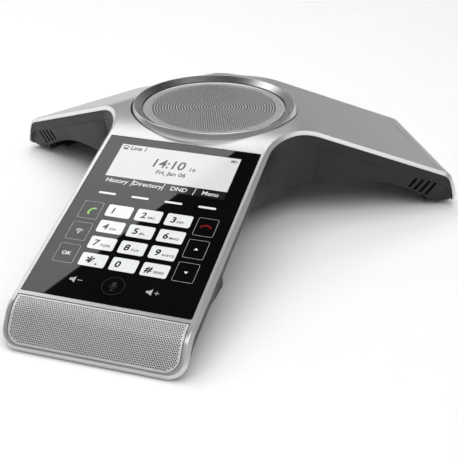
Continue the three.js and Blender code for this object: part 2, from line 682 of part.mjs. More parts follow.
// A flat cable that drops from the touch board to the main board, as a bent strip.
const RIBBON = { half: 7, thick: 0.3 };
const ribbonPath = [[-102.3, 36.6], [-102.6, 34.5], [-101.9, 32.2], [-100, 31.2], [-98.4, 31.2]];
const ribbonShape = new THREE.Shape([
  ...ribbonPath.map(([y, z]) => new THREE.Vector2(y, z)),
  ...[...ribbonPath].reverse().map(([y, z]) => new THREE.Vector2(y + RIBBON.thick, z + RIBBON.thick)),
]);
const ribbon = new THREE.ExtrudeGeometry(ribbonShape, { depth: 2 * RIBBON.half, bevelEnabled: false });
ribbon.rotateY(90 * DEG).rotateX(90 * DEG).translate(-RIBBON.half, 0, 0);
add('display_ribbon', ribbon, 0xc87f3a, 0.5);

for (const [arm, side, name] of [[RIGHT, 1, 'right'], [LEFT, -1, 'left']]) {
  add(`${name}_antenna`, onArm(arm, box(28, 0.8, 9, 80, side * 28, 31)), 0x2a6b45, 0.6);
}
for (const [arm, side, name] of [[RIGHT, -1, 'right'], [LEFT, 1, 'left']]) {
  const [c, n] = [Math.cos(arm.heading), Math.sin(arm.heading)];
  const place = (a, l, z) => [a * c - l * n, a * n + l * c, z];
  const x = -side;
  add(`${name}_mic_cable`, rod([
    place(115, side * 33, 20), place(96, side * 22, 27), place(72, side * 14, 28), [x * 49, -14, 28],
    [x * 39, -48, 31.5], [x * 31, -66, 31.4],
  ], 0.7), 0x1c1c1e, 0.7);
}
add('front_mic_cable', rod([
  [10, -178, 11.5], [22, -170, 13.5], [36, -152, 19.5], [42.3, -130, 27.3], [42.4, -107, 34], [36, -94, 31.4],
], 0.7), 0x1c1c1e, 0.7);
add('speaker_lead', rod([[0, -40.5, 46], [0, -46, 43], [0, -52, 36], [0, -62, 31.2]], 0.9, 6), 0x9c2a2a, 0.6);

// --- charging socket in the hub's back wall
const usbShell = cut(
  plate(USB.wide, USB.tall, USB.long, 0.6, 0, 0, 2), plate(USB.wide - 0.8, USB.tall - 0.8, USB.long, 0.3, 0.8, 0, 2),
);
const usbTongue = box(4.4, 0.6, 4.4, 0, 0, 2.6);
const usb = join(usbShell, usbTongue).rotateX(-90 * DEG).translate(0, USB.y - USB.long, USB.z);
add('usb_socket', usb, STEEL, 0.35, 0.9);
add('usb_board', plate(16, 11, 1.2, 1, 31.1, 0, 2).translate(0, 48.6, 0), BOARD, 0.6);

// --- battery bay under the front arm
const PACK = { long: 66, deep: 19, low: 5.2, high: 24.6 };
add('battery_pack', plate(PACK.long, PACK.deep, PACK.high - PACK.low, 3, PACK.low, 0.5, 2)
  .translate(-2, bayCentre, 0), 0x2d5fa8, 0.5);
const contactBlades = [-5, 0, 5].map((y) => box(2, 2, 4, 33, bayCentre + y, 15));
add('battery_contacts', join(box(2.4, 16, 8, 35.1, bayCentre, 15), ...contactBlades), 0xd0b25a, 0.35, 0.9);

const DOOR = { half: BAY.half - BAY_WALL - 0.5, deep: roomDeep - 0.7 };
const doorPlate = plate(2 * DOOR.half, DOOR.deep, DOOR_THICK, 1, BAY.low, 0.5, 2).translate(0, bayCentre, 0);
const doorFar = bayCentre + DOOR.deep / 2;
const doorTongue = box(14, 0.9, 1.5, 0, doorFar - 1.9, BAY.low + DOOR_THICK + 0.4);
const doorGrip = box(12, 2, 0.5, 0, doorFar - 4, BAY.low + 0.2);
add('battery_door', cut(join(doorPlate, doorTongue), doorGrip), CHARCOAL, 0.6);

// --- put the middle of the footprint at the origin
group.updateMatrixWorld(true);
const bounds = new THREE.Box3().setFromObject(group);
group.position.y = -(bounds.min.y + bounds.max.y) / 2;

export default group;
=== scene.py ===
"""Looks for a three-armed desk conference phone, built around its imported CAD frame.

Shapes are worked out in millimetres with the loudspeaker's axis at x = y = 0 and the table at z = 0,
and go to the frame's metres when a mesh is made.
"""
import json
import math
from types import SimpleNamespace

import bpy
from mathutils import Matrix, Vector
from mathutils.geometry import delaunay_2d_cdt


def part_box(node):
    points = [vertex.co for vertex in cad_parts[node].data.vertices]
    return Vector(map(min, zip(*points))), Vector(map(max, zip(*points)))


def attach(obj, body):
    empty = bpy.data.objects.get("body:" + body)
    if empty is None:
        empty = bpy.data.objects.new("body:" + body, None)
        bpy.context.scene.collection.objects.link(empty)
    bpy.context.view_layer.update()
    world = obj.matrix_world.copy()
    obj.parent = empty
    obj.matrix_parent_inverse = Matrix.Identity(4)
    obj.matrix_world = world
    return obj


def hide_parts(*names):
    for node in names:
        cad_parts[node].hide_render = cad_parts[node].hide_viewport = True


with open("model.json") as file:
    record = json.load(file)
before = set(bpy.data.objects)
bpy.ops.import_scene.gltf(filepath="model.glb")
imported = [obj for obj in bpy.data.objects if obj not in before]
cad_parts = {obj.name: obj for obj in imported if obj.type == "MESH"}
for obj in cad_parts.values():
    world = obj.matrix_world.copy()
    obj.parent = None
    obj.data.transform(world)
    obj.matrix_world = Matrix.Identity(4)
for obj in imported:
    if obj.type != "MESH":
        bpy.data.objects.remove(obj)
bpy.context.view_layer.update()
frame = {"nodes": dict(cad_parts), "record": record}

MM = 0.001
DEG = math.pi / 180

ring_low, ring_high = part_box("speaker_ring")
HUB_Y = (ring_low.y + ring_high.y) / 2 / MM
CREST = ring_high.z / MM
TO_FRAME = Matrix.Scale(MM, 4) @ Matrix.Translation((0, HUB_Y, 0))

# ---------------------------------------------------------------- driving dimensions, millimetres
GAP = 0.3
SKIN = 2.6
CHAMFER_IN = 1.8
CHAMFER_DOWN = 2.2
WALL = 2.2
BAND_TALL = 5.8
PLATEAU = CREST - 2.5
SHOULDER = 4
NOTCH_R = 46
ROOT = 57.5
EDGE_R = 0.35

FRONT = SimpleNamespace(
    heading=-90 * DEG, a0=53.2, z0=CREST - 6, slope=16.6 * DEG, straight=130, bend_r=12, bend=37 * DEG,
    tail_r=250, end=155.5, half=48.9, corner=10.5, base_end=8, undercut=10,
)
REAR = dict(
    a0=53, z0=CREST - 6.03, slope=21.95 * DEG, straight=89.8, bend_r=10.5, bend=48 * DEG,
    tail_r=80, end=114, half=46.3, corner=5, base_end=3.5, undercut=4,
)
RIGHT = SimpleNamespace(heading=30 * DEG, **REAR)
LEFT = SimpleNamespace(heading=150 * DEG, **REAR)
ARMS = [FRONT, RIGHT, LEFT]

RING_R = 50.7
RING_HOLE_R = RING_R + GAP
GRILLE_R = 43.5
GRILLE_TOP = CREST - 3

GLASS = SimpleNamespace(half=44.93, long=123.6, thick=1.1)
WINDOW = SimpleNamespace(half=41.93, start=2.2, end=119.5)
MESH = SimpleNamespace(half=45, start=126.4, end=152.6, corner=8, thick=0.8, top=0.1)

BELLY_HIGH = CREST - 41.5
BELLY_LOW = 3
BELLY_DROP = SimpleNamespace(start=100, run=75)
ARM_DROP = 0.0063
BOWL_Z = CREST - 54
BOWL_R = 40
BOWL_END_R = 76
BAY = SimpleNamespace(half=40, near=-129, far=-104, low=2, roof=28, wall=2.3)
FRONT_FOOT_Y = -181
FOOT = SimpleNamespace(wide=7, side_long=50, front_long=60, corner=1.6)
CASE_SCREW_L = 34.5
PAD = SimpleNamespace(a=132.4, wide=10, long=80)
TIP_GROOVE_A = 131


# ---------------------------------------------------------------- mesh building
class Shape:
    """Points in millimetres and the faces between them. Equal points are one vertex."""

    def __init__(self):
        self.points = []
        self.index = {}
        self.faces = []

    def vertex(self, p):
        key = (round(p[0], 4), round(p[1], 4), round(p[2], 4))
        if key not in self.index:
            self.index[key] = len(self.points)
            self.points.append(key)
        return self.index[key]

    def face(self, *corners):
        ids = []
        for p in corners:
            i = self.vertex(p)
            if i not in ids:
                ids.append(i)
        if len(ids) > 2:
            self.faces.append(ids)

    def band(self, upper, lower):
        """Joins two closed loops of equal length."""
        n = len(upper)
        for i in range(n):
            j = (i + 1) % n
            self.face(lower[i], lower[j], upper[j], upper[i])

    def object(self, name, matrix=Matrix.Identity(4)):
        mesh = bpy.data.meshes.new(name)
        mesh.from_pydata(self.points, [], self.faces)
        mesh.transform(TO_FRAME @ matrix)
        mesh.validate()
        made = bpy.data.objects.new(name, mesh)
        bpy.context.scene.collection.objects.link(made)
        return made


def carve(target, cutters, operation="DIFFERENCE"):
    """Cuts the cutters out of target, or joins them to it, and removes them."""
    group = bpy.data.collections.new("cutters")
    bpy.context.scene.collection.children.link(group)
    for cutter in cutters:
        group.objects.link(cutter)
    step = target.modifiers.new("carve", "BOOLEAN")
    step.operation = operation
    step.solver = "MANIFOLD"
    step.operand_type = "COLLECTION"
    step.collection = group
    depsgraph = bpy.context.evaluated_depsgraph_get()
    mesh = bpy.data.meshes.new_from_object(target.evaluated_get(depsgraph))
    target.modifiers.clear()
    target.data = mesh
    for cutter in cutters:
        bpy.data.objects.remove(cutter)
    bpy.data.collections.remove(group)
    return target


def shade(made, angle=30):
    """Smooth faces that meet at less than this angle, in degrees, and keep the rest crisp."""
    made.data.polygons.foreach_set("use_smooth", [True] * len(made.data.polygons))
    made.data.set_sharp_from_angle(angle=angle * DEG)
    weigh = made.modifiers.new("even shading", "WEIGHTED_NORMAL")
    weigh.keep_sharp = True
    return made


def finish_piece(made, material, slot, body="phone", replaces=()):
    made.data.materials.clear()
    made.data.materials.append(material)
    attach(made, body)
    if replaces:
        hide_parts(*replaces)
    return made


def rounded(path, radius, steps=3):
    """An open path of 2D points with each inner corner rounded off."""
    out = [path[0]]
    for before, corner, after in zip(path, path[1:], path[2:]):
        c = Vector(corner)
        to_before, to_after = Vector(before) - c, Vector(after) - c
        reach = min(radius, to_before.length * 0.45, to_after.length * 0.45)
        a, b = c + to_before.normalized() * reach, c + to_after.normalized() * reach
        for i in range(steps + 1):
            t = i / steps
            p = a * (1 - t) ** 2 + c * (2 * t * (1 - t)) + b * t * t
            out.append((p.x, p.y))
    out.append(path[-1])
    return out


def arc(cx, cy, r, start, end, steps):
    angles = [start + (end - start) * i / steps for i in range(steps + 1)]
    return [(cx + r * math.cos(t), cy + r * math.sin(t)) for t in angles]


def rounded_rect(half_x, half_y, r, steps=6, cx=0, cy=0):
    corners = [(1, -1, -90), (1, 1, 0), (-1, 1, 90), (-1, -1, 180)]
    points = []
    for sx, sy, start in corners:
        x, y = cx + sx * (half_x - r), cy + sy * (half_y - r)
        points += arc(x, y, r, start * DEG, (start + 90) * DEG, steps)
    return points


def box(wide, deep, tall, x=0, y=0, z=0):
    shape = Shape()
    loop = [(-1, -1), (1, -1), (1, 1), (-1, 1)]
    upper, lower = [
        [(x + sx * wide / 2, y + sy * deep / 2, z + sz * tall / 2) for sx, sy in loop] for sz in (1, -1)
    ]
    shape.band(upper, lower)
    shape.face(*upper)
    shape.face(*reversed(lower))
    return shape


def plate(wide, deep, low, high, corner, bevel=0.0, x=0, y=0, steps=6):
    """A flat plate with rounded corners and a small rounded edge above and below."""
    shape = Shape()
    edge = [(0, low), (0, high)]
    if bevel:
        edge = arc(bevel, low + bevel, bevel, -90 * DEG, -180 * DEG, 3)
        edge += arc(bevel, high - bevel, bevel, 180 * DEG, 90 * DEG, 3)
    loops = []
    for inset, z in edge:
        ring = rounded_rect(wide / 2 - inset, deep / 2 - inset, max(corner - inset, 0.05), steps, x, y)
        loops.append([(px, py, z) for px, py in ring])
    for lower, upper in zip(loops, loops[1:]):
        shape.band(upper, lower)
    shape.face(*loops[-1])
    shape.face(*reversed(loops[0]))
    return shape


def revolve(section, segments):
    """Turns a closed section of (radius, z), listed anticlockwise, about Z."""
    shape = Shape()
    turns = [2 * math.pi * k / segments for k in range(segments)]
    rings = [[(r * math.cos(t), r * math.sin(t), z) for t in turns] for r, z in section]
    rings.append(rings[0])
    for lower, upper in zip(rings, rings[1:]):
        shape.band(upper, lower)
    return shape


def cylinder(r, low, high, segments=24):
    return revolve([(0, low), (r, low), (r, high), (0, high)], segments)


# ---------------------------------------------------------------- the phone's top surface
def profile(arm, s):
    """Distance from the hub's axis, height and steepness at s along an arm's top."""
    run = min(s, arm.straight)
    a = arm.a0 + run * math.cos(arm.slope)
    z = arm.z0 - run * math.sin(arm.slope)
    angle = arm.slope
    if s > arm.straight:
        angle += min((s - arm.straight) / arm.bend_r, arm.bend)
        a += arm.bend_r * (math.sin(angle) - math.sin(arm.slope))
        z -= arm.bend_r * (math.cos(arm.slope) - math.cos(angle))
    tail = s - arm.straight - arm.bend_r * arm.bend
    if tail > 0:
        start = angle
        angle += tail / arm.tail_r
        a += arm.tail_r * (math.sin(angle) - math.sin(start))
        z -= arm.tail_r * (math.cos(start) - math.cos(angle))
    return a, z, angle


def arm_point(arm, s, l, depth=0.0):
    a, z, angle = profile(arm, s)
    a -= depth * math.sin(angle)
    z -= depth * math.cos(angle)
    c, n = math.cos(arm.heading), math.sin(arm.heading)
    return (a * c - l * n, a * n + l * c, z)


def along(arm, x, y):
    return x * math.cos(arm.heading) + y * math.sin(arm.heading)


def soft_min(a, b, k):
    h = max(k - abs(a - b), 0)
    return min(a, b) - h * h / (4 * k)


def hub_height(x, y):
    z = PLATEAU
    for arm in ARMS:
        z = soft_min(z, arm.z0 - (along(arm, x, y) - arm.a0) * math.tan(arm.slope), SHOULDER)
    return z


def hub_point(x, y, depth=0.0):
    e = 0.05
    gx = (hub_height(x + e, y) - hub_height(x - e, y)) / (2 * e)
    gy = (hub_height(x, y + e) - hub_height(x, y - e)) / (2 * e)
    n = Vector((-gx, -gy, 1)).normalized()
    return (x - depth * n.x, y - depth * n.y, hub_height(x, y) - depth * n.z)


def clamp01(v):
    return min(max(v, 0), 1)


def belly(x, y):
    """Height of the base's underside."""
    t = clamp01((math.hypot(x, y) - BOWL_R) / (BOWL_END_R - BOWL_R))
    z = BOWL_Z + (BELLY_HIGH - BOWL_Z) * (1 - (1 - t) ** 2)
    front = clamp01((along(FRONT, x, y) - BELLY_DROP.start) / BELLY_DROP.run)
    z -= (BELLY_HIGH - BELLY_LOW) * front * front * (3 - 2 * front)
    for arm in (RIGHT, LEFT):
        z -= ARM_DROP * max(0, along(arm, x, y) - BOWL_END_R) ** 2
    return max(z, BELLY_LOW)


# ---------------------------------------------------------------- outline of the phone
# A node of an outline is (arm, s, l) on an arm, or (None, x, y) on the hub.
def notch(arm_a, arm_b, inset, steps):
    """The concave corner between two neighbouring arms."""
    ax, ay = -math.sin(arm_a.heading), math.cos(arm_a.heading)
    bx, by = math.sin(arm_b.heading), -math.cos(arm_b.heading)
    far_a, far_b = arm_a.half + NOTCH_R, arm_b.half + NOTCH_R
    det = ax * by - ay * bx
    cx, cy = (far_a * by - far_b * ay) / det, (far_b * ax - far_a * bx) / det
    start = math.atan2(-ay, -ax)
    turn = math.atan2(-by, -bx) - start
    turn -= 2 * math.pi * round(turn / (2 * math.pi))
    return [(None, x, y) for x, y in arc(cx, cy, NOTCH_R + inset, start, start + turn, steps)]


def spread(start, end, steps):
    """Evenly spaced numbers after start, up to end."""
    return [start + (end - start) * (i + 1) / steps for i in range(steps)]


def arm_rows(arm, inset, end_inset, fine):
    half, end = arm.half - inset, arm.end - end_inset
    corner = max(arm.corner - inset, 0.6)
    first = (ROOT - arm.a0) / math.cos(arm.slope)
    bend_end = arm.straight + arm.bend_r * arm.bend
    lengths = [first]
    lengths += spread(first, arm.straight, fine.mid)
    lengths += spread(arm.straight, bend_end, fine.bend)
    lengths += spread(bend_end, end - corner, fine.tail)
    rows = [(arm, s, half) for s in lengths]
    for t in spread(0, 90 * DEG, fine.corner):
        rows.append((arm, end - corner + corner * math.sin(t), half - corner + corner * math.cos(t)))
    return rows


def outline(inset, end_inset, fine):
    """Both insets are functions of the arm."""
    strips = [arm_rows(arm, inset(arm), end_inset(arm), fine) for arm in ARMS]
    notches = []
    for i, arm in enumerate(ARMS):
        after = ARMS[(i + 1) % 3]
        notches.append(notch(arm, after, (inset(arm) + inset(after)) / 2, fine.notch))
    return SimpleNamespace(strips=strips, notches=notches, fine=fine)


def across(row, columns):
    arm, s, l = row
    return [(arm, s, l * (2 * k / columns - 1)) for k in range(columns + 1)]


def loop(shape):
    """The closed outline, anticlockwise from above."""
    nodes = []
    for rows, corner in zip(shape.strips, shape.notches):
        nodes += [(arm, s, -l) for arm, s, l in rows[:-1]]
        nodes += across(rows[-1], shape.fine.columns)
        nodes += [(arm, s, l) for arm, s, l in reversed(rows[:-1])]
        nodes += corner[1:-1]
    return nodes


def cover(solid, shape, place, height, hole, faces_up):
    """Covers an outline: a grid on each arm, and rings from the hub's edge in to a round hole."""
    columns = shape.fine.columns

    def put(*corners):
        solid.face(*(corners if faces_up else reversed(corners)))

    edge = []
    for rows, corner in zip(shape.strips, shape.notches):
        grid = [[place(node) for node in across(row, columns)] for row in rows]
        for near, far in zip(grid, grid[1:]):
            for k in range(columns):
                put(near[k], far[k], far[k + 1], near[k + 1])
        edge += grid[0]
        edge += [place(node) for node in corner[1:-1]]
    outer = edge
    for j in range(1, shape.fine.hub + 1):
        t = j / shape.fine.hub
        inner = []
        for p in edge:
            r = math.hypot(p[0], p[1])
            share = (r + (hole - r) * t) / r
            x, y = p[0] * share, p[1] * share
            inner.append((x, y, height(x, y)))
        for i in range(len(edge)):
            k = (i + 1) % len(edge)
            put(outer[i], outer[k], inner[k], inner[i])
        outer = inner
    return outer


def top_place(depth):
    return lambda node: hub_point(node[1], node[2], depth) if node[0] is None else arm_point(*node, depth)


# ---------------------------------------------------------------- frames for placing things
panel_x, panel_y, panel_z = arm_point(FRONT, 0, 0)
PANEL = Matrix.Translation((panel_x, panel_y, panel_z)) @ Matrix.Rotation(FRONT.slope, 4, "X")


def on_arm(arm):
    return Matrix.Rotation(arm.heading, 4, "Z")


def panel_box(half, start, end, top, low):
    """A block in the panel: half its width, from and to along it, and its depths below the glass."""
    return box(2 * half, end - start, low - top, 0, -(start + end) / 2, -(top + low) / 2)


def plate_side(start, end, half, corner):
    """One long side of a plate along an arm and the quarter turn at its far end, as (s, l)."""
    rows = [(start + (end - corner - start) * i / 24, half) for i in range(25)]
    for t in spread(0, 90 * DEG, 10):
        rows.append((end - corner + corner * math.sin(t), half - corner + corner * math.cos(t)))
    return rows


def bent_outline(start, end, half, corner):
    """The outline of a plate that follows an arm's top, as (s, l), anticlockwise."""
    step = 1.5
    right = plate_side(start, end, half, corner)
    count = round(2 * (half - corner) / step)
    tip = [(end, (half - corner) * (1 - 2 * i / count)) for i in range(1, count)]
    left = [(s, -l) for s, l in reversed(right)]
    count = round(2 * half / step)
    back = [(start, half * (2 * i / count - 1)) for i in range(1, count)]
    return right + tip + left + back


def bent_block(arm, start, end, half, corner, top, low):
    """A plain plate that follows an arm's top, between two depths."""
    shape = Shape()
    rows = plate_side(start, end, half, corner)
    upper, lower = [
        [(arm_point(arm, s, -l, depth), arm_point(arm, s, l, depth)) for s, l in rows]
        for depth in (top, low)
    ]
    for i in range(len(rows) - 1):
        shape.face(upper[i][0], upper[i + 1][0], upper[i + 1][1], upper[i][1])
        shape.face(lower[i][1], lower[i + 1][1], lower[i + 1][0], lower[i][0])
        shape.face(lower[i][0], lower[i + 1][0], upper[i + 1][0], upper[i][0])
        shape.face(upper[i][1], upper[i + 1][1], lower[i + 1][1], lower[i][1])
    shape.face(upper[0][0], upper[0][1], lower[0][1], lower[0][0])
    shape.face(lower[-1][0], lower[-1][1], upper[-1][1], upper[-1][0])
    return shape


# ---------------------------------------------------------------- materials
NOISE_LOW, NOISE_HIGH = 0.3, 0.7


def node(tree, kind, **settings):
    made = tree.nodes.new(kind)
    for key, value in settings.items():
        setattr(made, key, value)
    return made


def principled(name, color, roughness, metallic=0.0, **sockets):
    material = bpy.data.materials.new(name)
    material.use_nodes = True
    shader = material.node_tree.nodes["Principled BSDF"]
    shader.inputs["Base Color"].default_value = (*color, 1)
    shader.inputs["Roughness"].default_value = roughness
    shader.inputs["Metallic"].default_value = metallic
    for key, value in sockets.items():
        shader.inputs[key.replace("_", " ")].default_value = value
    return material, material.node_tree, shader


def noise(tree, size, detail):
    """Noise whose grain is about size millimetres, in the frame's own coordinates."""
    place = node(tree, "ShaderNodeTexCoord")
    scale = node(tree, "ShaderNodeMapping")
    scale.inputs["Scale"].default_value = [1 / (size * MM)] * 3
    tree.links.new(place.outputs["Object"], scale.inputs["Vector"])
    made = node(tree, "ShaderNodeTexNoise")
    made.inputs["Scale"].default_value = 1
    made.inputs["Detail"].default_value = detail
    tree.links.new(scale.outputs["Vector"], made.inputs["Vector"])
    return made.outputs["Fac"]


def ranged(tree, value, low, high):
    """Spreads the middle of a noise over the range from low to high."""
    made = node(tree, "ShaderNodeMapRange")
    made.inputs["From Min"].default_value = NOISE_LOW
    made.inputs["From Max"].default_value = NOISE_HIGH
    made.inputs["To Min"].default_value = low
    made.inputs["To Max"].default_value = high
    tree.links.new(value, made.inputs["Value"])
    return made.outputs["Result"]


def tint(tree, shader, value, dark, light):
    ramp = node(tree, "ShaderNodeValToRGB")
    ramp.color_ramp.elements[0].position = NOISE_LOW
    ramp.color_ramp.elements[0].color = (*dark, 1)
    ramp.color_ramp.elements[1].position = NOISE_HIGH
    ramp.color_ramp.elements[1].color = (*light, 1)
    tree.links.new(value, ramp.inputs["Fac"])
    tree.links.new(ramp.outputs["Color"], shader.inputs["Base Color"])


def bump(tree, shader, value, height):
    """height is the bump's real height in millimetres."""
    made = node(tree, "ShaderNodeBump")
    made.inputs["Strength"].default_value = 1
    made.inputs["Distance"].default_value = height * MM
    tree.links.new(value, made.inputs["Height"])
    tree.links.new(made.outputs["Normal"], shader.inputs["Normal"])


def shades(color, spread_by):
    return [tuple(min(c * k, 1) for c in color) for k in (1 - spread_by, 1 + spread_by)]


def textured(
    name, color, roughness, metallic=0.0, grain=0.4, vary=0.05, rough_vary=0.05, height=0.01, **sockets,
):
    """A surface with a fine grain: a little colour, roughness and relief that change with it."""
    material, tree, shader = principled(name, color, roughness, metallic, **sockets)
    fine = noise(tree, grain, 3)
    tint(tree, shader, fine, *shades(color, vary))
    wide = noise(tree, grain * 40, 2)
    spread_roughness = ranged(tree, wide, roughness - rough_vary, roughness + rough_vary)
    tree.links.new(spread_roughness, shader.inputs["Roughness"])
    bump(tree, shader, fine, height)
    return material


def turned_metal(name, color, roughness, groove=0.35, height=0.003, anisotropy=0.5):
    """Metal turned on a lathe about the hub's axis, with fine rings."""
    material, tree, shader = principled(name, color, roughness, 1.0, Anisotropic=anisotropy)
    place = node(tree, "ShaderNodeTexCoord")
    centre = node(tree, "ShaderNodeVectorMath", operation="SUBTRACT")
    centre.inputs[1].default_value = (0, HUB_Y * MM, 0)
    tree.links.new(place.outputs["Object"], centre.inputs[0])
    flat = node(tree, "ShaderNodeVectorMath", operation="MULTIPLY")
    flat.inputs[1].default_value = (1, 1, 0)
    tree.links.new(centre.outputs["Vector"], flat.inputs[0])
    radius = node(tree, "ShaderNodeVectorMath", operation="LENGTH")
    tree.links.new(flat.outputs["Vector"], radius.inputs[0])
    rings = node(tree, "ShaderNodeTexNoise", noise_dimensions="1D")
    rings.inputs["Scale"].default_value = 1 / (groove * MM)
    rings.inputs["Detail"].default_value = 2
    tree.links.new(radius.outputs["Value"], rings.inputs["W"])
    tint(tree, shader, rings.outputs["Fac"], *shades(color, 0.05))
    bump(tree, shader, rings.outputs["Fac"], height)
    tangent = node(tree, "ShaderNodeTangent", direction_type="RADIAL", axis="Z")
    tree.links.new(tangent.outputs["Tangent"], shader.inputs["Tangent"])
    return material


silver = textured(
    "silver lacquer", (0.62, 0.625, 0.63), 0.33, 0.85, grain=0.18, rough_vary=0.01, height=0.002,
    Coat_Weight=0.15, Coat_Roughness=0.25,
)
charcoal = textured(
    "charcoal plastic", (0.012, 0.0125, 0.014), 0.42, grain=0.25, vary=0.10, height=0.006,
    Specular_IOR_Level=0.35,
)
ring_metal = turned_metal("turned ring", (0.60, 0.60, 0.61), 0.26)
grille_metal = turned_metal(
    "turned perforated steel", (0.74, 0.745, 0.75), 0.34, groove=0.3, anisotropy=0.1,
)
mesh_metal = textured(
    "perforated steel", (0.66, 0.665, 0.67), 0.45, 0.6, grain=0.3, vary=0.06, height=0.002,
)
black_cloth = textured("acoustic cloth", (0.012, 0.012, 0.013), 0.9, grain=0.3, vary=0.3, height=0.05)
glass_black = textured(
    "panel glass", (0.0035, 0.0035, 0.004), 0.015, grain=30, vary=0.2, rough_vary=0.005, height=0.0,
)


def printed(name, color, vary, grain=3, roughness=0.06):
    """Ink on the glass: smooth, with a very slight mottle."""
    return textured(name, color, roughness, grain=grain, vary=vary, rough_vary=0.01, height=0.0)


print_white = printed("white key print", (0.72, 0.73, 0.74), 0.01)
print_dark = printed("dark print", (0.012, 0.012, 0.014), 0.1)
print_grey = printed("grey print", (0.42, 0.43, 0.44), 0.03)
print_dim = printed("dim print", (0.03, 0.03, 0.031), 0.05)
print_green = printed("green print", (0.25, 0.55, 0.12), 0.05)
print_red = printed("red print", (0.17, 0.010, 0.010), 0.05)
display_white = printed("lit display", (0.62, 0.63, 0.63), 0.01, 5, 0.07)
display_dark = printed("display segments", (0.05, 0.052, 0.055), 0.05, 5, 0.07)
rubber = textured("rubber", (0.02, 0.02, 0.021), 0.75, grain=0.5, vary=0.2, height=0.02)
steel = textured("plated steel", (0.58, 0.59, 0.60), 0.28, 1.0, grain=0.4, vary=0.06, height=0.002)
board_green = textured("circuit board", (0.03, 0.13, 0.06), 0.4, grain=1.2, vary=0.3, height=0.02)
diffuser = textured("diffuser", (0.82, 0.84, 0.85), 0.4, grain=1.0, vary=0.02, height=0.004)
frame_black = textured("speaker frame", (0.03, 0.03, 0.032), 0.4, 0.3, grain=0.5, vary=0.15, height=0.006)
paper = textured("cone paper", (0.025, 0.024, 0.023), 0.85, grain=0.6, vary=0.3, height=0.03)
cable = textured("cable sheath", (0.02, 0.02, 0.022), 0.5, grain=0.5, vary=0.1, height=0.004)
copper = textured("flexible circuit", (0.55, 0.27, 0.09), 0.35, grain=0.8, vary=0.1, height=0.004)
wrap = textured("battery wrap", (0.02, 0.07, 0.26), 0.3, grain=2, vary=0.08, height=0.01)
gold = textured("gold contact", (0.75, 0.55, 0.22), 0.3, 1.0, grain=0.5, vary=0.06, height=0.002)
label = textured("blank label", (0.6, 0.61, 0.62), 0.45, grain=0.5, vary=0.03, height=0.002)

SLOT_LOOKS = {
    "silver_paint": silver, "base_plastic": charcoal, "ring_metal": ring_metal,
    "perforated_metal": mesh_metal, "panel_glass": glass_black, "screen": display_white,
    "light_plastic": diffuser, "board": board_green, "rubber": rubber, "foam": rubber, "steel": steel,
    "speaker_frame": frame_black, "speaker_cone_paper": paper, "cable": cable, "copper_flex": copper,
    "battery_wrap": wrap, "gold": gold, "label": label,
}

for part in frame["record"]["subparts"]:
    target = frame["nodes"][part["node"]]
    target.data.materials.clear()
    target.data.materials.append(SLOT_LOOKS[part["material_slot"]])


# ---------------------------------------------------------------- top shell
FINE = SimpleNamespace(mid=6, bend=14, tail=10, corner=10, notch=40, columns=24, hub=16)
PANEL_GAP = 0.25
MESH_GAP = 0.28


def same(value):
    return lambda arm: value


def mesh_edge(grow):
    """Start, end, half width and corner of the perforated plate, grown by this much all round."""
    return MESH.start - grow, MESH.end + grow, MESH.half + grow, MESH.corner + grow


def top_shell():
    edge = rounded(
        [(CHAMFER_IN + 1.2, 0), (CHAMFER_IN, 0), (0, CHAMFER_DOWN), (0.3, SKIN), (1.2, SKIN)], EDGE_R,
    )
    solid = Shape()
    loops, shapes = [], []
    for inset, depth in edge:
        shapes.append(outline(same(inset), same(inset), FINE))
        loops.append([top_place(depth)(n) for n in loop(shapes[-1])])
    for upper, lower in zip(loops, loops[1:]):
        solid.band(upper, lower)
    rim_top = cover(solid, shapes[0], top_place(0), hub_height, RING_HOLE_R, True)
    rim_low = cover(
        solid, shapes[-1], top_place(SKIN), lambda x, y: hub_height(x, y) - SKIN, RING_HOLE_R, False,
    )
    solid.band(rim_low, rim_top)
    made = solid.object("top_shell_fine")
    seat = panel_box(GLASS.half + PANEL_GAP, -PANEL_GAP, GLASS.long + PANEL_GAP, -1, GLASS.thick + GAP)
    window = panel_box(WINDOW.half, WINDOW.start, WINDOW.end, 0.5, SKIN + 2)
    recess = bent_block(FRONT, *mesh_edge(MESH_GAP), -1, MESH.thick + 0.6)
    cutters = [seat.object("cut", PANEL), window.object("cut", PANEL), recess.object("cut")]
    for arm in (RIGHT, LEFT):
        drop = (TIP_GROOVE_A - arm.a0) * math.tan(arm.slope)
        place = on_arm(arm) @ Matrix.Translation((TIP_GROOVE_A, 0, arm.z0 - drop + 0.1))
        place = place @ Matrix.Rotation(arm.slope, 4, "Y")
        cutters.append(box(0.5, 2 * arm.half + 4, 1).object("cut", place))
    carve(made, cutters)
    return shade(made)


finish_piece(top_shell(), silver, "silver_paint", replaces=["top_shell"])


